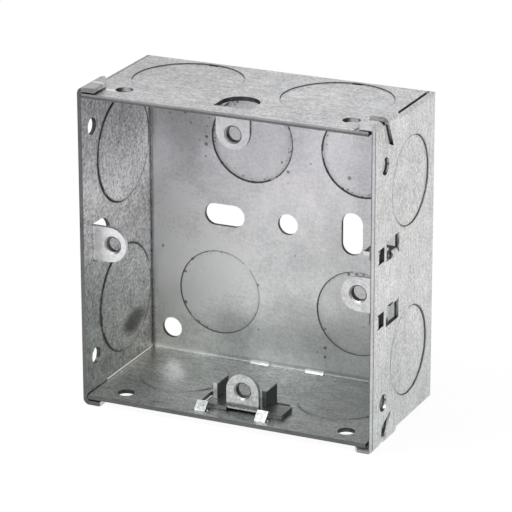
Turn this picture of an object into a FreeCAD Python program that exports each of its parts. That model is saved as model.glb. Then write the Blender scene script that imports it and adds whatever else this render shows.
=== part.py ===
import FreeCAD, Part
import math
import os
from FreeCAD import Vector

# Flush back box, single gang, folded from one sheet, with two sliding lugs. All sizes in mm.
# Frame: X to the right, Y into the wall, Z up; origin in the middle of the box.
# The box is drawn with the back plate's outer face at Y = 0 and moved to its frame at the end.
# Each wall is drawn flat first, in u (along the wall), d (depth from the front rim) and h (height
# above the wall's inner face), and then turned into place.

# Overall sizes
width = 72.0
height = 73.0
depth = 35.0
sheet = 1.0
bend_inner = 0.6
bend_outer = bend_inner + sheet
seam_right = 0.8
seam_top_left = 0.06
seam_bottom_left = 0.7
seam_under_tab = 0.2
seam_end = 1.0
wall_corner = 0.8
small_bend = 0.4

# Lugs: the screw centres are the standard distance apart
screw_centres = 60.3
screw_hole_r = 1.75
collar_wall = 0.5
collar_length = 0.9
lead_in = 0.4
lug_front = 4.6
fixed_lug_width = 8.2
fixed_lug_tip = 3.4
lug_opening_margin = 0.4
lug_opening_rear = 13.0

# Sliding lugs
slide_lug_width = 8.0
slide_lug_tip = 4.05
slide_play = 0.1
slide_side_play = 0.15
slide_plate_length = 19.4
slide_plate_rear = 10.4
slide_tongue_rear = 12.6
slide_travel = 2.5
right_offset = -2.45
bottom_offset = 2.1

# Lanced stops and hooked ears that hold a sliding lug to its wall
stop_centre = 7.5
stop_width = 2.7
stop_root = 2.0
stop_length = 2.7
stop_opening = 3.4
ear_inner = 5.6
ear_height = 5.0
ear_nose = 7.6
ear_rear = 13.6
ear_opening_front = 6.6
ear_opening_side = 10.0

# Corner tabs of the side walls, wrapped over the top and bottom walls
tab_lift = 0.4
tab_reach = 4.6
tab_rear = 13.2
tab_corner = 0.8
tab_bend = 0.5
notch_front = 4.0
notch_width = 3.3
notch_inner_front = 5.0
notch_inner_rear = 10.0
notch_reach = 5.6
plain_tab_reach = 4.2
plain_tab_rear = 10.0
plain_tab_end = 5.9
plain_tab_root = 1.0

# Holes and knock-outs
wall_hole_r = 2.0
wall_hole_u = 27.5
wall_hole_d = {"left": 4.9, "right": 5.5, "top": 6.5, "bottom": 4.9}
knockout_step = 0.2
back_knockout_step = 0.25
small_knockout_r = 10.25
large_knockout_r = 12.75
small_knockout_u = 20.0
large_knockout_u = 18.3
knockout_d = 20.0
nick_length = 2.4
nick_width = 0.8
nick_u = 17.8
back_hole_r = 2.5
back_slot_length = 10.2
back_slot_width = 5.3
back_slot_x = 16.1
earth_hole = (-30.0, -30.0)
back_knockouts = [(-17.5, -19.2), (-9.0, 19.2), (18.6, 19.2), (17.6, -19.2)]

# Pressed gussets in the bottom bend
gusset_x = 7.0
gusset_width = 4.6
gusset_leg = 0.8
gusset_cheek = 0.8

half_w = width / 2.0
half_h = height / 2.0
through = 4.0 * sheet


def box(x0, x1, y0, y1, z0, z1):
    """Block between two corners."""
    return Part.makeBox(x1 - x0, y1 - y0, z1 - z0, Vector(x0, y0, z0))


def prism(points, run):
    """Solid from a flat outline of points, swept along a vector."""
    outline = Part.makePolygon([Vector(*p) for p in points + points[:1]])
    return Part.Face(outline).extrude(Vector(*run))


def bent_strip(root, upright, inner_r, length):
    """Strip that runs along u, turns up through a bend that starts at u = 0, and is swept along d."""
    r = inner_r
    t = sheet
    c = math.sqrt(0.5)
    outer = r + t
    corners = [(-root, -t), (0, -t), (outer, r), (outer, upright), (r, upright), (r, r), (0, 0), (-root, 0)]
    p = [Vector(a, 0, h) for a, h in corners]
    outer_mid = Vector(outer * c, 0, r - outer * c)
    inner_mid = Vector(r * c, 0, r - r * c)
    edges = [
        Part.makeLine(p[0], p[1]),
        Part.Arc(p[1], outer_mid, p[2]).toShape(),
        Part.makeLine(p[2], p[3]),
        Part.makeLine(p[3], p[4]),
        Part.makeLine(p[4], p[5]),
        Part.Arc(p[5], inner_mid, p[6]).toShape(),
        Part.makeLine(p[6], p[7]),
        Part.makeLine(p[7], p[0]),
    ]
    return Part.Face(Part.Wire(edges)).extrude(Vector(0, length, 0))


def mirror_u(shape):
    return shape.mirror(Vector(0, 0, 0), Vector(1, 0, 0))


def both_sides(shape):
    return [shape, mirror_u(shape)]


def turned_to_depth(shape):
    """Turn a strip that runs along u so that it runs along d, centred on u = 0."""
    turned = shape.copy()
    turned.rotate(Vector(0, 0, 0), Vector(0, 0, 1), 90)
    middle = (turned.BoundBox.XMin + turned.BoundBox.XMax) / 2.0
    turned.translate(Vector(-middle, 0, 0))
    return turned


def wall_pin(u, d, r):
    """Round cutter through a wall."""
    return Part.makeCylinder(r, through, Vector(u, d, -sheet - 1.0))


def obround(x, z, length, breadth, upright):
    """Round-ended cutter through the back plate."""
    r = breadth / 2.0
    reach = length / 2.0 - r
    dx, dz = (0, reach) if upright else (reach, 0)
    middles = [Vector(x + s * dx, -2 * sheet, z + s * dz) for s in (-1, 1)]
    ends = [Part.makeCylinder(r, through, m, Vector(0, 1, 0)) for m in middles]
    side_x = r if upright else reach
    side_z = reach if upright else r
    core = box(x - side_x, x + side_x, -2 * sheet, 2 * sheet, z - side_z, z + side_z)
    return core.fuse(ends)


def tongue(width_u, tip, bend_at, fold):
    """Round-ended lug plate cut from a folded strip, with a pressed collar round its screw hole."""
    hole_h = half_screw(bend_at)
    r = width_u / 2.0
    centre_h = hole_h + tip - r
    outline = box(-r, r, 0, depth, -2 * sheet, centre_h)
    outline = outline.fuse(Part.makeCylinder(r, depth, Vector(0, 0, centre_h), Vector(0, 1, 0)))
    plate = fold.common(outline)
    collar_r = screw_hole_r + collar_wall
    collar_d = lug_front + sheet / 2.0
    start = Vector(0, collar_d, hole_h)
    collar = Part.makeCylinder(collar_r, collar_length + sheet / 2.0, start, Vector(0, 1, 0))
    hole = Part.makeCylinder(screw_hole_r, depth, Vector(0, 0, hole_h), Vector(0, 1, 0))
    mouth = Vector(0, lug_front, hole_h)
    lead = Part.makeCone(screw_hole_r + lead_in, screw_hole_r, lead_in, mouth, Vector(0, 1, 0))
    return plate.fuse(collar).cut([hole, lead])


def half_screw(half_size):
    """Height of the screw centre above the inner face of a wall that lies half_size from the middle."""
    return half_size - sheet - screw_centres / 2.0


def knockout(u, d, r):
    """Blank pressed part-way inward: cut from the outer face, added to the inner face."""
    recess = Part.makeCylinder(r, knockout_step + 1, Vector(u, d, -sheet - 1))
    boss = Part.makeCylinder(r, knockout_step + sheet / 4.0, Vector(u, d, -sheet / 4.0))
    return recess, boss


def fixed_lug(half_size):
    """Opening in the wall and the lug bent inward from its front edge."""
    start = lug_front - small_bend
    r = fixed_lug_width / 2.0 + lug_opening_margin
    middle = lug_opening_rear - r
    opening = box(-r, r, start, middle, -2 * sheet, sheet)
    opening = opening.fuse(Part.makeCylinder(r, 3 * sheet, Vector(0, middle, -2 * sheet)))
    upright = half_screw(half_size) + fixed_lug_tip + 1
    strip = turned_to_depth(bent_strip(sheet, upright, small_bend, fixed_lug_width))
    strip.translate(Vector(0, start, 0))
    return opening, tongue(fixed_lug_width, fixed_lug_tip, half_size, strip)


def slide_guides():
    """Openings, sloping stops and hooked ears for a sliding lug."""
    c = math.sqrt(0.5)
    lean = sheet * math.tan(math.pi / 8.0)
    tip_d = stop_root + stop_length * c
    tip_h = stop_length * c
    low = stop_centre - stop_width / 2.0
    side = [
        (low, stop_root - sheet, 0),
        (low, stop_root, 0),
        (low, tip_d, tip_h),
        (low, tip_d + sheet * c, tip_h - sheet * c),
        (low, stop_root + lean, -sheet),
        (low, stop_root - sheet, -sheet),
    ]
    stop = prism(side, (stop_width, 0, 0))
    half_open = stop_opening / 2.0
    stop_hole = box(stop_centre - half_open, stop_centre + half_open, stop_root, stop_root + stop_opening,
                    -2 * sheet, sheet)
    start = ear_inner - small_bend
    ear = bent_strip(sheet, ear_height, small_bend, ear_rear - ear_nose)
    ear.translate(Vector(start, ear_nose, 0))
    under_nose = slide_play * 2 + sheet
    root_front = slide_plate_rear + slide_side_play
    ear = ear.cut(box(start, ear_inner + 2 * sheet, ear_nose - 1, root_front, -2 * sheet, under_nose))
    ear_hole = box(start, ear_opening_side, ear_opening_front, ear_rear + 0.2, -2 * sheet, sheet)
    cuts = both_sides(stop_hole) + both_sides(ear_hole)
    adds = both_sides(stop) + both_sides(ear)
    return cuts, adds


def sliding_lug(half_size, shift):
    """Clip: a plate on the wall, a tongue between the ears, and the lug turned up at its front edge."""
    floor_h = slide_play
    top_h = slide_play + sheet
    half_plate = slide_plate_length / 2.0
    plate = box(-half_plate, half_plate, lug_front, slide_plate_rear, floor_h, top_h)
    stem_half = ear_inner - slide_travel
    stem = box(-stem_half, stem_half, slide_plate_rear - 1, slide_tongue_rear, floor_h, top_h)
    fold_r = small_bend
    run = fold_r + sheet
    upright = half_screw(half_size) + slide_lug_tip + 1
    strip = bent_strip(sheet, upright - top_h, fold_r, slide_lug_width)
    strip = turned_to_depth(strip)
    strip.rotate(Vector(0, 0, 0), Vector(0, 0, 1), 180)
    strip.translate(Vector(0, lug_front + run, top_h))
    r = slide_lug_width / 2.0
    notch = box(-r, r, lug_front - 1, lug_front + run, floor_h - 1, top_h + 1)
    lug = tongue(slide_lug_width, slide_lug_tip, half_size, strip)
    clip = plate.cut(notch).fuse([stem, lug]).removeSplitter()
    clip.translate(Vector(shift, 0, 0))
    return clip


def tab_strip(other_half, reach, rear):
    """Strip from the end of a side wall, turned over the next wall."""
    start = other_half + tab_lift - tab_bend
    strip = bent_strip(start - other_half + 3 * sheet, reach - sheet, tab_bend, rear)
    strip.translate(Vector(start, 0, 0))
    return strip


def notched_tabs(other_half):
    """Two tabs at each end of the right wall, with a slanted notch between them."""
    strip = tab_strip(other_half, tab_reach, tab_rear)
    corners = [e for e in strip.Edges if is_tab_corner(e)]
    past_corner = other_half + tab_lift + 2 * sheet
    inner = other_half - notch_reach
    outline = [
        (past_corner, notch_front, -2 * sheet),
        (inner + 2 * sheet, notch_inner_front, -2 * sheet),
        (inner, notch_inner_rear, -2 * sheet),
        (other_half, notch_front + notch_width, -2 * sheet),
        (past_corner, notch_front + notch_width, -2 * sheet),
    ]
    whole_notch = prism(outline, (0, 0, tab_reach + 3 * sheet))
    wall_notch = prism(outline, (0, 0, 2 * sheet + seam_right / 2.0))
    strip = strip.makeChamfer(tab_corner, corners).cut(whole_notch)
    return both_sides(strip), both_sides(wall_notch)


def plain_tabs(other_half):
    """One tab at each end of the left wall, with a slanted rear edge."""
    strip = tab_strip(other_half, plain_tab_reach, plain_tab_rear)
    top = plain_tab_reach + sheet
    low_u = other_half - sheet
    slant = [
        (low_u, plain_tab_rear, plain_tab_root),
        (low_u, plain_tab_end, plain_tab_reach - sheet),
        (low_u, plain_tab_end, top),
        (low_u, plain_tab_rear + sheet, top),
        (low_u, plain_tab_rear + sheet, plain_tab_root),
    ]
    strip = strip.cut(prism(slant, (4 * sheet, 0, 0)))
    return both_sides(strip), []


def is_tab_corner(edge):
    """True for the short edges across the sheet at a tab's free end."""
    b = edge.BoundBox
    level = abs(b.ZMin - (tab_reach - sheet)) < 1e-6 and b.ZLength < 1e-6
    return level and b.YLength < 1e-6 and abs(b.XLength - sheet) < 1e-6


def shell():
    """Back plate and four walls, folded from the back, with open seams at the corners."""
    outer = box(-half_w, half_w, -depth, 0, -half_h, half_h)
    across = half_w - sheet
    up = half_h - sheet
    hollow = box(-across, across, -depth - 1, -sheet, -up, up)
    rounded = outer.makeFillet(wall_corner, [e for e in outer.Edges if e.BoundBox.YLength > sheet])
    outer = outer.makeFillet(bend_outer, edges_at_depth(outer, 0.0)).common(rounded)
    hollow = hollow.makeFillet(bend_inner, edges_at_depth(hollow, -sheet))
    slits = bottom_left_seam(across, up)
    for x_side, z_side, gap in [(1, 1, seam_right), (1, -1, seam_right), (-1, 1, seam_top_left)]:
        x0, x1 = sorted([x_side * across, x_side * (across - gap)])
        z0, z1 = sorted([z_side * (up - seam_right), z_side * (half_h + 1)])
        slits.append(box(x0, x1, -depth - 1, -seam_end, z0, z1))
    return outer.cut(hollow).cut(slits)


def bottom_left_seam(across, up):
    """Seam beside the bottom wall under the left tab, then above the bottom wall behind the tab."""
    behind_tab = plain_tab_rear - depth
    seam_turn = behind_tab + seam_under_tab
    beside = box(-across, -across + seam_under_tab, -depth - 1, seam_turn, -half_h - 1, -up + seam_right)
    between = box(-half_w - 1, -across, behind_tab, seam_turn, -half_h - 1, -up + seam_under_tab)
    above = box(-half_w - 1, -across, behind_tab, -seam_end, -up, -up + seam_bottom_left)
    return [beside, between, above]


def edges_at_depth(shape, y):
    """Straight edges that lie in the plane at depth y."""
    return [e for e in shape.Edges if abs(e.BoundBox.YMin - y) < 1e-6 and abs(e.BoundBox.YMax - y) < 1e-6]


turn = {"bottom": 0, "right": -90, "top": 180, "left": 90}
half_of = {"bottom": half_h, "top": half_h, "left": half_w, "right": half_w}


def placed(shape, wall):
    """Turn a shape drawn on the flat wall into its place on the box."""
    moved = shape.copy()
    moved.translate(Vector(0, -depth, sheet - half_of[wall]))
    moved.rotate(Vector(0, 0, 0), Vector(0, 1, 0), turn[wall])
    return moved


def wall_features(wall):
    """Cuts and additions of one wall, still flat."""
    large = wall in ("top", "left")
    cuts = [wall_pin(s * wall_hole_u, wall_hole_d[wall], wall_hole_r) for s in (-1, 1)]
    adds = []
    r = large_knockout_r if large else small_knockout_r
    u = large_knockout_u if large else small_knockout_u
    for s in (-1, 1):
        recess, boss = knockout(s * u, knockout_d, r)
        cuts.append(recess)
        if wall in ("left", "bottom"):
            adds.append(boss)
    if wall == "top":
        rear = knockout_d + large_knockout_r
        half_nick = nick_length / 2.0
        nick = box(nick_u - half_nick, nick_u + half_nick, rear - nick_width, rear, -2 * sheet, sheet)
        cuts += both_sides(nick)
    if large:
        opening, lug = fixed_lug(half_of[wall])
        cuts.append(opening)
        adds.append(lug)
    else:
        guide_cuts, guide_adds = slide_guides()
        cuts += guide_cuts
        adds += guide_adds
    if wall in ("left", "right"):
        tabs, notches = plain_tabs(half_h) if wall == "left" else notched_tabs(half_h)
        cuts += notches
        adds += tabs
    return cuts, adds


def gussets():
    """Inner wedges and outer dents across the bend between back and bottom."""
    adds = []
    cuts = []
    inner_y = -sheet
    inner_z = -half_h + sheet
    into = sheet / 2.0
    dent = gusset_leg + (2.0 - math.sqrt(2.0)) * sheet
    for s in (-1, 1):
        x0 = s * gusset_x - gusset_width / 2.0
        wedge = [
            (x0, inner_y + into, inner_z - into),
            (x0, inner_y + into, inner_z + gusset_leg),
            (x0, inner_y, inner_z + gusset_leg),
            (x0, inner_y - gusset_leg, inner_z),
            (x0, inner_y - gusset_leg, inner_z - into),
        ]
        adds.append(prism(wedge, (gusset_width, 0, 0)))
        x1 = x0 + gusset_cheek
        hollow = [
            (x1, into, -half_h - into),
            (x1, into, -half_h + dent),
            (x1, 0.0, -half_h + dent),
            (x1, -dent, -half_h),
            (x1, -dent, -half_h - into),
        ]
        cuts.append(prism(hollow, (gusset_width - 2 * gusset_cheek, 0, 0)))
    return cuts, adds


def back_features():
    """Holes, slots and knock-outs in the back plate."""
    cuts = []
    for x, z in [(0.0, 0.0), earth_hole]:
        cuts.append(Part.makeCylinder(back_hole_r, through, Vector(x, -2 * sheet, z), Vector(0, 1, 0)))
    cuts.append(obround(-back_slot_x, 0.0, back_slot_length, back_slot_width, False))
    cuts.append(obround(back_slot_x, 0.0, back_slot_length, back_slot_width, True))
    for x, z in back_knockouts:
        start = Vector(x, -sheet - 1, z)
        cuts.append(Part.makeCylinder(small_knockout_r, back_knockout_step + 1, start, Vector(0, 1, 0)))
    return cuts


body = shell()
gusset_cuts, gusset_adds = gussets()
body = body.fuse(gusset_adds).cut(gusset_cuts + back_features())
for wall in ("top", "left", "bottom", "right"):
    wall_cuts, wall_adds = wall_features(wall)
    body = body.cut([placed(c, wall) for c in wall_cuts])
    body = body.fuse([placed(a, wall) for a in wall_adds])
body = body.removeSplitter()

nodes = {
    "box": body,
    "lug_right": placed(sliding_lug(half_w, right_offset), "right"),
    "lug_bottom": placed(sliding_lug(half_h, bottom_offset), "bottom"),
}

os.makedirs("parts", exist_ok=True)
for name, shape in nodes.items():
    solid = shape.Solids[0] if len(shape.Solids) == 1 else shape
    solid.translate(Vector(0, depth / 2.0, 0))
    solid.exportStep("parts/" + name + ".step")
    b = solid.BoundBox
    print(name, "solids", len(shape.Solids), "valid", shape.isValid(), "volume", round(shape.Volume, 1),
          "x", round(b.XMin, 2), round(b.XMax, 2), "y", round(b.YMin, 2), round(b.YMax, 2),
          "z", round(b.ZMin, 2), round(b.ZMax, 2))
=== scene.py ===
import math

import bpy
from mathutils import Matrix, Vector


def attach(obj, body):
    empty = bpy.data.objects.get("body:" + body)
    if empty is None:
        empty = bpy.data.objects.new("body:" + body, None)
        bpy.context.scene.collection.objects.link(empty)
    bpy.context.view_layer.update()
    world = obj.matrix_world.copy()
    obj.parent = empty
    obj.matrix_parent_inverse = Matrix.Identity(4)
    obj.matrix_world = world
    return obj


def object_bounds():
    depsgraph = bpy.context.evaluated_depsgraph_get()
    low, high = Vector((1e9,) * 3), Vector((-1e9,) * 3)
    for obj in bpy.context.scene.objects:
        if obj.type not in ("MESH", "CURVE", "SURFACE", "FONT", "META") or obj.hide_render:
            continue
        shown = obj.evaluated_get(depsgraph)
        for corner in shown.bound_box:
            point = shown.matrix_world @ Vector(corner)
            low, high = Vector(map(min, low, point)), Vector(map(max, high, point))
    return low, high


# Flush back box in folded galvanised sheet, seen from the front right and a little above.
# Lengths are written in mm and turned to metres where a mesh or a camera needs them.

mm = 0.001

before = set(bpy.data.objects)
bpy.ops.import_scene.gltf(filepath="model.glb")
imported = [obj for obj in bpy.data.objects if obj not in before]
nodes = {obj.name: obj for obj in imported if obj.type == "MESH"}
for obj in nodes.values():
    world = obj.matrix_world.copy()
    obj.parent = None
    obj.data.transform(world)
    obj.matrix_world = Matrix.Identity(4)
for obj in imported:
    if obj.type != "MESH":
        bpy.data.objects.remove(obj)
cad_box = [list(corner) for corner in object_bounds()]
scene = bpy.context.scene
scene.view_settings.view_transform = "Standard"

# Sizes repeated from the sheet-metal drawing
half_width = 36.0
half_height = 36.5
half_depth = 17.5
sheet = 1.0
blank_depth = 20.0 - half_depth
blank_step = 0.2
back_step = 0.25
large_blank_r = 12.75
large_blank_u = 18.3
small_blank_r = 10.25
small_blank_u = 20.0
back_blanks = [(-17.5, -19.2), (-9.0, 19.2), (18.6, 19.2), (17.6, -19.2)]
wall_hole_u = 27.5
lug_half = 4.4
lug_front = -12.9
lug_rear = -11.9
screw_u = 30.15
right_lug_z = -2.45
bottom_lug_x = 2.1
floor_level = cad_box[0][2]

# Limits between the faces of the box, for the finishes
rim_front = -17.42
walls_rear = 15.4
plate_front = 16.2
plate_rear = 17.2
left_limit = -34.5
right_limit = 34.8
top_limit = 35.2
bottom_limit = -35.0

# Darker clouds on the back plate: x, z, reach in x and z, darkening
back_clouds = [
    (-26.0, 20.0, 11.0, 8.0, 0.22),
    (-31.0, 29.0, 7.0, 8.0, 0.10),
    (-14.0, -27.0, 7.0, 5.0, 0.20),
    (2.0, -29.0, 16.0, 6.0, 0.12),
    (20.0, -26.0, 9.0, 6.0, 0.08),
]

# Painted hairlines of the wall knock-outs: turn of the bridges, breadth, strength at front and rear
top_line = (1.25, 0.11, 0.30, 0.32)
bottom_line = (0.4, 0.13, 0.45, 0.40)
left_line = (1.9, 0.26, 0.95, 0.85)
right_line = (0.15, 0.22, 0.70, 0.65)

# Wire rings of the knock-outs. The inner ones: sink into the wall, added radius, wire radius
bridge_angle = 0.17
wall_turns = ((-1, 0.55), (1, 1.25))
back_turns = (0.9, 2.2, 0.2, 1.7)
outer_sink = 0.04
outer_inset = 0.09
outer_wire = 0.09
top_wire = 0.07
inner_ring = (0.06, 0.0, 0.10)
left_ring = (0.02, 0.10, 0.12)
back_sink = 0.03
back_inset = 0.12
back_upper_wire = 0.17
back_lower_wire = 0.11

# Camera: lens and film in mm, turns in degrees, place in mm
lens = 229.15
film = 36.0
camera_yaw = 24.944
camera_pitch = 19.675
camera_roll = -0.137
camera_place = (292.04, -628.80, 245.65)

# Lamps: name, place and size in metres, power in watts. All point at the middle of the box
lamps = [
    ("overhead", (-0.35, -0.30, 0.80), 0.50, 5.0),
    ("front_right", (0.50, -0.60, 1.20), 0.90, 5.0),
]
floor_reach = 3.0


class Field:
    """One value of a node tree. Arithmetic on it adds Math nodes."""

    def __init__(self, paint, socket):
        self.paint = paint
        self.socket = socket

    def join(self, operation, *values):
        return self.paint.node("ShaderNodeMath", {"operation": operation}, dict(enumerate(values)))

    def __add__(self, other):
        return self.join("ADD", self, other)

    def __radd__(self, other):
        return self.join("ADD", other, self)

    def __sub__(self, other):
        return self.join("SUBTRACT", self, other)

    def __rsub__(self, other):
        return self.join("SUBTRACT", other, self)

    def __mul__(self, other):
        return self.join("MULTIPLY", self, other)

    def __rmul__(self, other):
        return self.join("MULTIPLY", other, self)

    def __truediv__(self, other):
        return self.join("DIVIDE", self, other)

    def __abs__(self):
        return self.join("ABSOLUTE", self)

    def __pow__(self, other):
        return self.join("POWER", self, other)

    def most(self, other):
        return self.join("MAXIMUM", self, other)

    def least(self, other):
        return self.join("MINIMUM", self, other)

    def step(self, low, high):
        """Smooth rise from 0 at low to 1 at high."""
        sockets = {"Value": self, "From Min": low, "From Max": high}
        return self.paint.node("ShaderNodeMapRange", {"interpolation_type": "SMOOTHSTEP"}, sockets)

    def within(self, low, high, soft=0.03):
        """1 between low and high, 0 outside."""
        return self.step(low - soft, low + soft) * (1 - self.step(high - soft, high + soft))

    def below(self, limit, soft=0.05):
        return 1 - self.step(limit - soft, limit + soft)

    def above(self, limit, soft=0.05):
        return self.step(limit - soft, limit + soft)


class Paint:
    """A material under construction."""

    def __init__(self, name):
        self.material = bpy.data.materials.new(name)
        self.material.use_nodes = True
        self.tree = self.material.node_tree
        self.tree.nodes.clear()
        self.output = self.tree.nodes.new("ShaderNodeOutputMaterial")

    def node(self, kind, settings=None, sockets=None, out=0):
        """Any node: its settings first, then the values or links of its sockets."""
        made = self.tree.nodes.new(kind)
        for name, value in (settings or {}).items():
            setattr(made, name, value)
        for key, value in (sockets or {}).items():
            if isinstance(value, Field):
                self.tree.links.new(value.socket, made.inputs[key])
            else:
                made.inputs[key].default_value = value
        return Field(self, made.outputs[out])

    def close(self, shader):
        self.tree.links.new(shader.socket, self.output.inputs["Surface"])
        return self.material

    def place(self):
        """Object coordinates in mm."""
        at = self.node("ShaderNodeTexCoord", out="Object")
        return self.node("ShaderNodeVectorMath", {"operation": "SCALE"}, {0: at, "Scale": 1 / mm})

    def parts(self, kind, whole):
        """All outputs of a node that takes a vector or a colour apart."""
        made = self.tree.nodes.new(kind)
        self.tree.links.new(whole.socket, made.inputs[0])
        return [Field(self, socket) for socket in made.outputs]

    def split(self, vector):
        return self.parts("ShaderNodeSeparateXYZ", vector)

    def split_colour(self, colour):
        return self.parts("ShaderNodeSeparateColor", colour)

    def stretch(self, vector, scale):
        return self.node("ShaderNodeVectorMath", {"operation": "MULTIPLY"}, {0: vector, 1: scale})

    def mix_vector(self, factor, first, second):
        sockets = {0: factor, 4: first, 5: second}
        return self.node("ShaderNodeMix", {"data_type": "VECTOR"}, sockets, out=1)

    def noise(self, vector, scale, detail, roughness):
        sockets = {"Vector": vector, "Scale": scale, "Detail": detail, "Roughness": roughness}
        return self.node("ShaderNodeTexNoise", {}, sockets)

    def colour(self, red, green, blue):
        return self.node("ShaderNodeCombineColor", {}, {0: red, 1: green, 2: blue})


def union(masks):
    """The greatest of several masks."""
    whole = masks[0]
    for mask in masks[1:]:
        whole = whole.most(mask)
    return whole


def distance(u, v, middle_u, middle_v):
    """Distance from a point of a plane."""
    du = u - middle_u
    dv = v - middle_v
    return (du * du + dv * dv) ** 0.5


def round_patch(u, v, middle_u, middle_v, reach_u, reach_v):
    """Soft round patch."""
    du = (u - middle_u) / reach_u
    dv = (v - middle_v) / reach_v
    return 1 - (du * du + dv * dv).step(0.0, 1.0)


def with_axis(normal):
    """1 where this part of the normal points along its axis."""
    return normal.above(0.5, 0.2)


def against_axis(normal):
    """1 where this part of the normal points back along its axis."""
    return normal.below(-0.5, 0.2)


def on_axis(normal):
    """1 where the face looks along this axis, either way."""
    return abs(normal).above(0.5, 0.1)


def off_axis(normal):
    """1 where the face looks across this axis."""
    return abs(normal).below(0.5, 0.1)


def left_inside(x, nx):
    """1 on the inner face of the left wall."""
    return x.below(left_limit) * with_axis(nx)


def plate_inside(y, ny):
    """1 on the inner face of the back plate."""
    return y.within(plate_front, plate_rear, 0.2) * against_axis(ny)


def sheared_edges(x, y, z, nx, ny, nz):
    """1 on the cut faces inside the thickness of the sheet, and on the steps of pressed blanks: dark
    partly as bare cut steel and partly as painted shade.
    """
    walls = y.below(walls_rear, 0.2)
    lug_depth = y.within(lug_front - 0.6, lug_rear + 0.3)

    wall_end = abs(z).above(36.38, 0.06)
    ear_root = abs(z).within(5.0, 5.4) * on_axis(nz)
    # Front-facing cut faces of the right wall are kept pale: painted light where they face the light.
    facing_front = ny.below(-0.5, 0.1) * y.above(-12.0) * x.above(35.55, 0.12)
    waist = abs(abs(z) - wall_hole_u).below(0.25, 0.15)
    pale = facing_front * (0.85 - waist * 0.6 - z.above(30.6) * 0.35)
    left_lug = x.below(0.0) * abs(z).below(lug_half) * lug_depth
    open_seam = x.below(-34.9) * (-1 * z).within(34.7, 35.6)
    side = abs(x).within(half_width - sheet, half_width) * off_axis(nx) * walls
    side = side * (1 - wall_end) * (1 - ear_root) * (1 - pale) * (1 - left_lug) * (1 - open_seam)
    left_step = x.within(-35.03, -34.8) * off_axis(nx) * walls

    # The bores of the top wall's holes are kept lighter: a painted glint.
    hole_x = abs(abs(x) - wall_hole_u)
    glint = z.above(35.4) * hole_x.below(1.1, 0.5) * y.within(-13.2, -8.8) * 0.75
    top_lug = z.above(0.0) * abs(x).below(lug_half) * lug_depth
    level = abs(z).within(half_height - sheet, half_height) * off_axis(nz) * walls
    level = level * abs(x).below(34.95) * (1 - glint) * (1 - top_lug)

    plate = y.within(half_depth - sheet, half_depth) * off_axis(ny)
    plate = plate * abs(x).below(33.8, 0.2) * abs(z).below(34.3, 0.2)
    return union([side, left_step, level, plate])


def lanced_parts(x, y, z, nx, nz):
    """1 on the undersides of the stops and ears and on the flanks of the ears, which are painted dark as
    shade.
    """
    near_rim = y.below(-3.3)
    right_under = x.within(25.0, 34.98) * nx.above(0.3, 0.1) * abs(z).below(11.0)
    bottom_under = (-1 * z).within(25.0, 35.48) * nz.below(-0.3, 0.1) * abs(x).below(11.0)
    right_ear = x.within(30.3, 34.98) * abs(z).within(5.3, 6.9) * on_axis(nz)
    bottom_ear = (-1 * z).within(30.8, 35.48) * abs(x).within(5.3, 6.9) * on_axis(nx)
    ears = right_ear.most(bottom_ear) * y.above(-10.5) * 0.86
    return union([right_under, bottom_under, ears]) * near_rim


def blank_line(u, y, middle, radius, turn, wide, front, rear):
    """Line round the two blanks of one wall: wider where it runs upright, broken at two bridges each,
    with a soft halo of painted shade beside it.
    """
    du = abs(u) - middle
    dy = y - blank_depth
    away = (du * du + dy * dy) ** 0.5
    along = abs(du * math.cos(turn) + dy * math.sin(turn)) / away
    breadth = wide * (0.55 + abs(dy) / away * 1.2)
    line = 1 - (abs(away - radius) / breadth).step(0.7, 1.3)
    # Soft painted shade beside the line, for the step of the blank.
    shade_halo = (1 - abs(away - radius).step(0.0, 1.1)) * 0.22
    strength = front + dy.above(0.0, 7.0) * (rear - front)
    return line.most(shade_halo) * strength * (1 - along.above(0.9962, 0.0008))


def wall_lines(x, y, z):
    """Hairlines of the wall knock-outs."""
    top = blank_line(x, y, large_blank_u, large_blank_r, *top_line) * z.above(top_limit)
    bottom = blank_line(x, y, small_blank_u, small_blank_r, *bottom_line) * z.below(bottom_limit)
    left = blank_line(z, y, large_blank_u, large_blank_r, *left_line) * x.below(left_limit)
    right = blank_line(z, y, small_blank_u, small_blank_r, *right_line) * x.above(right_limit)
    return union([top, bottom, left, right])


def back_lines(x, y, z):
    """Hairlines of the back knock-outs on the outer face of the back plate."""
    low = small_blank_r - 0.09
    high = small_blank_r + 0.09
    lines = union([distance(x, z, cx, cz).within(low, high, 0.05) for cx, cz in back_blanks])
    return lines * y.above(17.45, 0.02)


def screw_bores(x, y, z, ny, holes):
    """1 inside the screw holes of the lugs, less on their lead-ins: painted shade in the bores."""
    bores = union([distance(x, z, cx, cz).below(2.3) for cx, cz in holes])
    walls = abs(ny).below(0.85, 0.05) * (1 - on_axis(ny) * 0.45)
    return bores * walls * y.within(-13.2, -10.5)


def specks(p, at, spacing, radius, share, flat=False):
    """Small round dark marks, on a share of the cells of a Voronoi pattern."""
    cell = p.tree.nodes.new("ShaderNodeTexVoronoi")
    cell.voronoi_dimensions = "2D" if flat else "3D"
    p.tree.links.new(at.socket, cell.inputs["Vector"])
    cell.inputs["Scale"].default_value = 1.0 / spacing
    near = Field(p, cell.outputs["Distance"])
    pick, size, _ = p.split_colour(Field(p, cell.outputs["Color"]))
    edge = radius / spacing * (0.4 + size * 0.9)
    return (1 - (near / edge).step(0.6, 1.1)) * (pick - share).below(0.0, 0.01)


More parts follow.
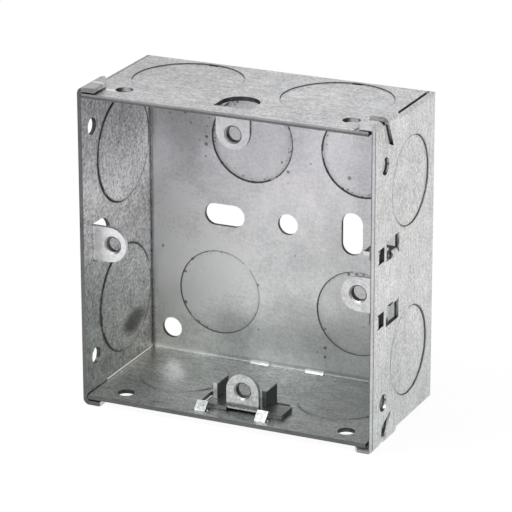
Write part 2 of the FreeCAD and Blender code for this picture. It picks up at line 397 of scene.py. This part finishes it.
def rim_shade(x, y, z, ny):
    """The sheared front rim and its darkening, partly bare cut steel and partly painted shade: two-toned
    on three walls, paler on the right wall.
    """
    rim = y.below(rim_front, 0.03) * abs(ny).step(0.6, 0.9)
    # Tab fronts paler as painted light, the lower ones less; a strip at the top of the lower ones stays
    # dark as a painted shadow of the gap.
    tabs = x.above(31.0) * (z.above(36.9) * 0.72).most(z.below(-37.2) * 0.45)
    right = x.within(35.2, 35.85, 0.12).most(tabs)
    top_half = z.above(36.05, 0.15) * abs(x).below(35.0)
    return rim, rim * (0.74 - right * 0.66 - top_half * 0.30)


def floor_shade(x, y, z, nz):
    """Painted shade on the bottom wall's inner face, darker on the right and lighter on the left, with a
    brighter round patch on the left.
    """
    floor = z.within(-35.8, -35.1) * with_axis(nz)
    bright_patch = round_patch(x + (y - 2.6) * 0.49, y, -23.3, 2.6, 5.0, 6.5) * 0.40
    return floor * (0.16 - x.below(12.0, 10.0) * 0.29 - bright_patch)


def bend_shade(x, y, z, ny):
    """Painted shade on the bottom bend, turned to a painted highlight on the left."""
    bend = (-1 * z).within(34.4, 35.6, 0.2) * y.above(15.6, 0.15) * ny.below(-0.05, 0.05)
    return bend * (0.24 - x.below(2.0, 10.0) * 0.04 - x.below(-22.0, 8.0) * 0.58)


def seam_painted_light(x, z, nz):
    """Painted light on the open seam at the bottom left, with a painted shade line at its outer edge."""
    seam = x.below(-34.95) * (-1 * z).within(35.3, 35.6) * with_axis(nz)
    return seam * (1.0 - x.below(-35.45, 0.1) * 1.75)


def plate_painted_light(x, z):
    """Painted light and shade on the back plate's inner face, area by area."""
    lower_left = z.below(2.0, 12.0) * (1 - x.above(4.0, 10.0)) * 0.27
    upper_right = x.above(-16.0, 6.0) * z.above(-12.0, 6.0) * 0.05
    left_strip = x.below(-27.0, 5.0) * z.within(-2.0, 20.0, 6.0) * 0.26
    lower_corner = x.below(-22.0, 8.0) * z.below(-10.0, 8.0) * 0.42
    upper = z.above(-21.0, 8.0) * 0.22
    lower_right = x.above(2.0, 10.0) * z.below(-18.0, 6.0) * 0.15
    return lower_left - upper_right + left_strip + lower_corner + upper - lower_right


def box_shade(x, y, z, nx, ny, nz):
    """Painted light and shade on the box, face by face, beside its general level."""
    # Painted shade in the inner corner of the left wall and back plate; painted light and shade on the
    # left wall, low down, low on the right wall and at the upper left.
    corner_depth = (y.above(15.9, 0.2) * 0.65).most(y.above(15.7, 0.7) * 0.4)
    inner_corner = x.within(-35.1, -34.45, 0.1) * corner_depth
    left_face = left_inside(x, nx)
    wall = left_face * (z.above(8.0, 4.0) * 0.16 - z.below(2.0, 6.0) * 0.15)
    low = z.below(-20.0, 14.0) * x.below(34.9) * (0.10 + left_face * 0.06)
    low_right = z.below(-16.0, 12.0) * x.above(35.5) * 0.14
    upper_left = x.below(-10.0, 20.0) * z.above(20.0, 12.0) * 0.14
    keep = (1 - inner_corner) * (1 + wall) * (1 - low) * (1 - low_right) * (1 - upper_left)
    keep = keep * (1 - floor_shade(x, y, z, nz)) * (1 - bend_shade(x, y, z, ny))
    return keep * (1 + plate_inside(y, ny) * plate_painted_light(x, z)) * (1 + seam_painted_light(x, z, nz))


def dark_clouds(x, y, z, nx, ny, ragged):
    """Darker clouds: one on the left wall and several on the back plate."""
    u = x + ragged * 5.0
    v = z - ragged * 6.0
    left = round_patch(y, z, 6.4, -25.4, 7.4, 3.7) * left_inside(x, nx) * 0.88
    back = union([round_patch(u, v, *patch) * strength for *patch, strength in back_clouds])
    return left.most(back * plate_inside(y, ny))


def recess_band(x, y, z, ny):
    """Band inside the edge of the recessed back knock-outs, where painted shade and dark specks gather.
    """
    bands = []
    for cx, cz in back_blanks:
        away = distance(x, z, cx, cz)
        bands.append(away.step(small_blank_r - 2.2, small_blank_r) * away.below(small_blank_r + 0.1))
    return union(bands) * plate_inside(y, ny)


def plate_shade_and_marks(p, x, y, z, ny, mottle):
    """Painted shade inside the recessed knock-outs, and dark round marks, on the back plate's inner
    face.
    """
    recess = recess_band(x, y, z, ny)
    upper = z.above(0.0)
    # Painted shade inside the edge of the recessed knock-outs, stronger in the upper half.
    recess_shade = recess * recess * (mottle * 1.1 - 0.15).most(0.0) * (0.30 + z.above(0.0, 8.0) * 0.45)
    cluster = round_patch(x, z, -22.0, 24.0, 13.0, 9.0)
    flat_at = p.node("ShaderNodeCombineXYZ", {}, {0: x, 1: z})
    fine = specks(p, flat_at, 1.05, 0.28, recess * (0.15 + upper * 0.5), flat=True)
    share = recess * (0.10 + upper * 0.50) + cluster * 0.6 + 0.015
    marks = specks(p, flat_at, 1.9, 0.43, share, flat=True).most(fine * 0.8)
    return (1 - recess_shade) * (1 - marks * plate_inside(y, ny) * 0.62)


def lug_shade(x, y, z, ny):
    """Painted light and shade on the fixed lugs: painted shade on the flank of the top one, a painted
    highlight on the edge and face of the left one.
    """
    flanks = y.within(lug_front - 0.1, lug_rear + 0.1) * off_axis(ny)
    top_flank = flanks * abs(x).below(lug_half + 0.1) * z.within(25.5, 35.3)
    left_edge = flanks * x.within(-34.8, -26.0) * z.above(-2.0, 1.0)
    left_face = x.within(-34.6, -26.0) * y.within(lug_front - 0.1, lug_front + 0.2) * ny.below(-0.7, 0.1)
    return (1 - top_flank * 0.6) * (1 + left_edge * 0.8) * (1 + left_face * 0.26)


def tab_shade(x, y, z, nz):
    """Brightness of the corner tabs: the left one darker, and a painted shadow beside the right ones."""
    left_tab = x.below(-31.0) * z.above(36.95)
    wall = abs(z).within(half_height - 0.1, half_height + 0.1) * abs(nz).above(0.7, 0.1)
    shadow = wall * x.within(30.7, 31.5, 0.2) * y.below(-4.0)
    return (1 - left_tab * 0.15) * (1 - shadow * 0.8)


def stop_faces(y, z, ny, nz):
    """1 on the sloping faces of the two stops of the bottom wall."""
    slope = ny.below(-0.4, 0.1) * nz.above(0.4, 0.1)
    return slope * (-1 * z).within(32.0, 35.6) * y.below(-8.0)


def clip_shade(z, nz):
    """Painted shade on the bottom clip: darker fold and plate, in the shade of the box."""
    fold = (-1 * z).above(33.3, 0.3) * (1 - with_axis(nz))
    plate = (-1 * z).above(34.0, 0.2) * with_axis(nz)
    return (1 - fold * 0.65) * (1 - plate * 0.35)


def box_edges(x, y, z, nx, ny, nz, rim, mottle, cloud):
    """Dark cut edges, undersides and hairlines of the box: painted shade on the undersides and, partly,
    on the cut edges.
    """
    cut = sheared_edges(x, y, z, nx, ny, nz) * (1 - rim) * (0.72 + mottle * 0.45)
    lines = wall_lines(x, y, z).most(back_lines(x, y, z) * 0.8)
    return union([cut, lanced_parts(x, y, z, nx, nz), lines * (mottle + cloud).step(0.55, 1.25)])


def zinc_colour(p, at, x, z, ny, value):
    """Tints of the zinc: lilac high on front and back faces, greener low down, olive low left."""
    lilac = z.step(-12.0, 18.0) * abs(ny).step(0.5, 0.8)
    low = z.below(-22.0, 12.0)
    olive = low * x.below(-24.0, 10.0)
    warm = p.noise(at, 0.05, 2.0, 0.5) - 0.5
    red = value * (1.0 - low * 0.03 + olive * 0.025 + warm * 0.05)
    green = value * (1.0 - lilac * 0.012 + low * 0.012)
    blue = value * (1.0 + lilac * 0.035 - low * 0.005 - olive * 0.015 - warm * 0.04)
    return p.colour(red, green, blue)


def galvanised(name, level, grain_strength, holes, is_box):
    """Zinc-coated sheet: rolling grain, soft clouds, pits, tints and darker sheared edges, with painted
    light and shade.
    """
    p = Paint(name)
    at = p.place()
    x, y, z = p.split(at)
    nx, ny, nz = p.split(p.node("ShaderNodeTexCoord", out="Normal"))
    side = abs(nx).step(0.5, 0.8)
    level_grain = p.stretch(at, (0.2, 1.0, 1.0))
    upright_grain = p.stretch(at, (1.0, 1.0, 0.2))
    streak = p.noise(p.mix_vector(side, level_grain, upright_grain), 1.2, 3.0, 0.7)
    grain = p.noise(at, 1.5, 2.0, 0.7)
    mottle = p.noise(at, 0.32, 3.0, 0.65)
    cloud = p.noise(at, 0.075, 3.0, 0.5)
    pits = specks(p, at, 1.5, 0.30, 0.45)

    plain = abs(ny).step(0.5, 0.8) * 0.62 if is_box else 0.0
    coarse = left_inside(x, nx) * 0.7 if is_box else 0.0
    wander = (streak - 0.5) * (0.9 - coarse * 0.7) + (grain - 0.5) * 1.5 - pits * 0.16
    broad = (mottle - 0.5) * 0.55 * (1.0 - plain * 0.6 + coarse)
    broad = broad + (cloud - 0.5) * (0.45 + plain * 0.5)
    value = level * (1.02 + wander * (1.0 - plain + coarse) * grain_strength + broad)

    # Painted shade inside the screw bores.
    edges = screw_bores(x, y, z, ny, holes) * 0.8
    matt = 0.0
    if is_box:
        rim, rim_dark = rim_shade(x, y, z, ny)
        stop = stop_faces(y, z, ny, nz)
        # Painted light on the stops: paler on the right one, darker on the left one.
        stop_painted_light = 0.15 - x.below(0.0) * 0.30 + (grain - 0.5) * 1.2
        value = value * (1 - rim_dark) * (1 + stop * stop_painted_light) * box_shade(x, y, z, nx, ny, nz)
        value = value * (1 - dark_clouds(x, y, z, nx, ny, mottle + cloud - 1.0))
        value = value * plate_shade_and_marks(p, x, y, z, ny, mottle)
        value = value * lug_shade(x, y, z, ny) * tab_shade(x, y, z, nz)
        edges = edges.most(box_edges(x, y, z, nx, ny, nz, rim, mottle, cloud))
        matt = stop * 0.35 + plate_inside(y, ny) * 0.22
    else:
        value = value * clip_shade(z, nz)

    # Colour of the darkened places: bare cut steel, hairlines and painted shade.
    dark = 0.03 + grain * 0.05
    value = value.most(0.03).least(0.95) * (1 - edges) + dark * edges
    roughness = 0.34 + (streak - 0.5) * 0.25 + (mottle - 0.5) * 0.20 + edges * 0.25 + matt
    relief = {"Strength": 0.25, "Distance": 0.06 * mm, "Height": streak + grain * 0.8}
    sockets = {
        "Base Color": zinc_colour(p, at, x, z, ny, value),
        "Metallic": 1.0,
        "Roughness": roughness,
        "Normal": p.node("ShaderNodeBump", {}, relief),
    }
    return p.close(p.node("ShaderNodeBsdfPrincipled", {}, sockets))


def shear_line_finish():
    """Dark, rough gap where a blank is sheared part-way through the sheet."""
    p = Paint("shear_line")
    at = p.place()
    _, y, z = p.split(at)
    pale = y.above(16.0) * z.below(-22.0, 6.0) * 0.16
    value = 0.05 + p.noise(at, 0.9, 2.0, 0.5) * 0.12 + pale
    sockets = {"Base Color": p.colour(value, value, value), "Metallic": 0.6, "Roughness": 0.7}
    return p.close(p.node("ShaderNodeBsdfPrincipled", {}, sockets))


def backdrop_floor():
    """Pale floor that stays white to the camera and in the metal, and keeps a faint shadow."""
    p = Paint("studio_floor")
    rays = ("Is Camera Ray", "Is Glossy Ray", "Is Transmission Ray")
    factor = union([p.node("ShaderNodeLightPath", out=ray) for ray in rays]) * 0.94
    white = p.node("ShaderNodeEmission", {}, {"Color": (1, 1, 1, 1), "Strength": 1.0})
    matt = p.node("ShaderNodeBsdfDiffuse", {}, {"Color": (0.86, 0.86, 0.86, 1)})
    return p.close(p.node("ShaderNodeMixShader", {}, {0: factor, 1: matt, 2: white}))


def place_camera():
    """Plain camera with no shift, turned by yaw, pitch and roll."""
    data = bpy.data.cameras.new("camera")
    data.lens = lens
    data.sensor_width = film
    data.clip_start = 0.05
    data.clip_end = 50.0
    camera = bpy.data.objects.new("camera", data)
    scene.collection.objects.link(camera)
    yaw = math.radians(camera_yaw)
    pitch = math.radians(camera_pitch)
    roll = math.radians(camera_roll)
    back = Vector((math.sin(yaw) * math.cos(pitch), -math.cos(yaw) * math.cos(pitch), math.sin(pitch)))
    right = Vector((math.cos(yaw), math.sin(yaw), 0.0))
    up = back.cross(right)
    turned_right = math.cos(roll) * right + math.sin(roll) * up
    turned_up = math.cos(roll) * up - math.sin(roll) * right
    place = Matrix((turned_right, turned_up, back)).transposed().to_4x4()
    place.translation = Vector(camera_place) * mm
    camera.matrix_world = place
    scene.camera = camera


def lay_floor():
    """Flat floor under the box."""
    mesh = bpy.data.meshes.new("studio_floor")
    signs = [(-1, -1), (1, -1), (1, 1), (-1, 1)]
    corners = [(a * floor_reach, b * floor_reach, floor_level) for a, b in signs]
    mesh.from_pydata(corners, [], [(0, 1, 2, 3)])
    floor = bpy.data.objects.new("studio_floor", mesh)
    mesh.materials.append(backdrop_floor())
    scene.collection.objects.link(floor)


def light_world():
    """Even grey light all round, white to the camera."""
    world = bpy.data.worlds.new("studio")
    scene.world = world
    world.use_nodes = True
    tree = world.node_tree
    tree.nodes.clear()
    out = tree.nodes.new("ShaderNodeOutputWorld")
    lit = tree.nodes.new("ShaderNodeBackground")
    lit.inputs["Color"].default_value = (0.80, 0.80, 0.81, 1)
    white = tree.nodes.new("ShaderNodeBackground")
    white.inputs["Color"].default_value = (1, 1, 1, 1)
    mix = tree.nodes.new("ShaderNodeMixShader")
    ray = tree.nodes.new("ShaderNodeLightPath")
    tree.links.new(ray.outputs["Is Camera Ray"], mix.inputs[0])
    tree.links.new(lit.outputs[0], mix.inputs[1])
    tree.links.new(white.outputs[0], mix.inputs[2])
    tree.links.new(mix.outputs[0], out.inputs["Surface"])


def hang_lamps():
    """Round area lamps."""
    for name, spot, size, power in lamps:
        data = bpy.data.lights.new(name, "AREA")
        data.shape = "DISK"
        data.size = size
        data.energy = power
        lamp = bpy.data.objects.new(name, data)
        lamp.location = spot
        lamp.rotation_euler = (-Vector(spot)).to_track_quat("-Z", "Y").to_euler()
        scene.collection.objects.link(lamp)


def shear_line_places():
    """Centre, facing, radius, wire radius and turn of every shear line, in mm."""
    places = []
    for s, turn in wall_turns:
        large_u = s * large_blank_u
        small_u = s * small_blank_u
        walls = [
            ((large_u, blank_depth, half_height), (0, 0, 1), large_blank_r, top_wire, inner_ring),
            ((-half_width, blank_depth, large_u), (-1, 0, 0), large_blank_r, outer_wire, left_ring),
            ((small_u, blank_depth, -half_height), (0, 0, -1), small_blank_r, outer_wire, None),
            ((half_width, blank_depth, small_u), (1, 0, 0), small_blank_r, outer_wire, inner_ring),
        ]
        for centre, facing, radius, wire, inner in walls:
            outward = Vector(facing)
            middle = Vector(centre)
            outer = middle - outward * (blank_step - outer_sink)
            places.append((outer, outward, radius - outer_inset, wire, turn))
            if inner:
                sink, added, inner_wire = inner
                inside = middle - outward * (sheet - sink)
                places.append((inside, -outward, radius + added, inner_wire, turn))
    for (px, pz), turn in zip(back_blanks, back_turns):
        middle = Vector((px, half_depth - sheet + back_step - back_sink, pz))
        wire = back_upper_wire if pz > 0 else back_lower_wire
        places.append((middle, Vector((0, -1, 0)), small_blank_r - back_inset, wire, turn))
    return places


def ring_tree():
    """Wire rings with two bridges, one on every point of the incoming mesh."""
    tree = bpy.data.node_groups.new("shear_lines", "GeometryNodeTree")
    face = tree.interface
    face.new_socket("Geometry", in_out="INPUT", socket_type="NodeSocketGeometry")
    face.new_socket("Bridge Angle", in_out="INPUT", socket_type="NodeSocketFloat")
    face.new_socket("Finish", in_out="INPUT", socket_type="NodeSocketMaterial")
    face.new_socket("Geometry", in_out="OUTPUT", socket_type="NodeSocketGeometry")
    add = tree.nodes.new
    link = tree.links.new
    given = add("NodeGroupInput")
    made = add("NodeGroupOutput")
    sweep = add("ShaderNodeMath")
    sweep.operation = "SUBTRACT"
    sweep.inputs[0].default_value = math.pi
    link(given.outputs["Bridge Angle"], sweep.inputs[1])
    halves = add("GeometryNodeJoinGeometry")
    for start in (0.0, math.pi):
        arc = add("GeometryNodeCurveArc")
        arc.inputs["Resolution"].default_value = 72
        arc.inputs["Radius"].default_value = 1.0
        arc.inputs["Start Angle"].default_value = start
        link(sweep.outputs[0], arc.inputs["Sweep Angle"])
        link(arc.outputs[0], halves.inputs[0])
    column = {}
    for name in ("facing", "size", "turn", "wire"):
        stored = add("GeometryNodeInputNamedAttribute")
        stored.data_type = "FLOAT_VECTOR" if name == "facing" else "FLOAT"
        stored.inputs["Name"].default_value = name
        column[name] = stored.outputs[0]
    spin = add("FunctionNodeAxisAngleToRotation")
    spin.inputs["Axis"].default_value = (0, 0, 1)
    link(column["turn"], spin.inputs["Angle"])
    align = add("FunctionNodeAlignRotationToVector")
    align.axis = "Z"
    link(spin.outputs[0], align.inputs["Rotation"])
    link(column["facing"], align.inputs["Vector"])
    points = add("GeometryNodeMeshToPoints")
    link(given.outputs["Geometry"], points.inputs["Mesh"])
    put = add("GeometryNodeInstanceOnPoints")
    link(points.outputs[0], put.inputs["Points"])
    link(halves.outputs[0], put.inputs["Instance"])
    link(align.outputs[0], put.inputs["Rotation"])
    link(column["size"], put.inputs["Scale"])
    real = add("GeometryNodeRealizeInstances")
    link(put.outputs[0], real.inputs[0])
    profile = add("GeometryNodeCurvePrimitiveCircle")
    profile.inputs["Resolution"].default_value = 6
    profile.inputs["Radius"].default_value = 1.0
    wire = add("GeometryNodeCurveToMesh")
    link(real.outputs[0], wire.inputs["Curve"])
    link(profile.outputs[0], wire.inputs["Profile Curve"])
    link(column["wire"], wire.inputs["Scale"])
    wire.inputs["Fill Caps"].default_value = True
    whole = add("GeometryNodeRealizeInstances")
    link(wire.outputs[0], whole.inputs[0])
    finish = add("GeometryNodeSetMaterial")
    link(whole.outputs[0], finish.inputs["Geometry"])
    link(given.outputs["Finish"], finish.inputs["Material"])
    link(finish.outputs[0], made.inputs["Geometry"])
    return tree


def grown(name, seed_mesh, tree, values):
    """Run a tree on a seed mesh and keep the result as a plain mesh object."""
    seed = bpy.data.objects.new(name + "_seed", seed_mesh)
    scene.collection.objects.link(seed)
    modifier = seed.modifiers.new("grow", "NODES")
    modifier.node_group = tree
    sockets = {s.name: s.identifier for s in tree.interface.items_tree if s.in_out == "INPUT"}
    for key, value in values.items():
        modifier[sockets[key]] = value
    bpy.context.view_layer.update()
    graph = bpy.context.evaluated_depsgraph_get()
    mesh = bpy.data.meshes.new_from_object(seed.evaluated_get(graph), depsgraph=graph)
    mesh.name = name
    bpy.data.objects.remove(seed)
    piece = bpy.data.objects.new(name, mesh)
    scene.collection.objects.link(piece)
    return piece


def shear_lines():
    """Dark hairlines round the knock-outs, inside and outside."""
    places = shear_line_places()
    mesh = bpy.data.meshes.new("shear_line_points")
    mesh.from_pydata([tuple(place[0] * mm) for place in places], [], [])
    columns = {
        "size": [place[2] * mm for place in places],
        "wire": [place[3] * mm for place in places],
        "turn": [place[4] for place in places],
    }
    mesh.attributes.new("facing", "FLOAT_VECTOR", "POINT")
    mesh.attributes["facing"].data.foreach_set("vector", [v for place in places for v in place[1]])
    for name, values in columns.items():
        mesh.attributes.new(name, "FLOAT", "POINT")
        mesh.attributes[name].data.foreach_set("value", values)
    values = {"Bridge Angle": bridge_angle, "Finish": shear_line_finish()}
    piece = grown("knockout_shear_lines", mesh, ring_tree(), values)
    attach(piece, "box")


def dress(node, material):
    """Give a CAD node its finish."""
    for slot in nodes[node].material_slots:
        slot.material = material


# Finishes: name, brightness, strength of the grain, screw holes as x and z, whether it is the box
box_holes = [(-screw_u, 0.0), (0.0, screw_u)]
right_hole = [(screw_u, right_lug_z)]
bottom_hole = [(bottom_lug_x, -screw_u)]
dress("box", galvanised("galvanised_sheet", 0.63, 1.0, box_holes, True))
# Both clips are the same plated steel; their different brightness is painted light and shade.
dress("lug_right", galvanised("plated_lug_side", 0.65, 0.6, right_hole, False))
dress("lug_bottom", galvanised("plated_lug_floor", 0.52, 0.8, bottom_hole, False))
shear_lines()
place_camera()
lay_floor()
light_world()
hang_lamps()

bpy.context.view_layer.update()
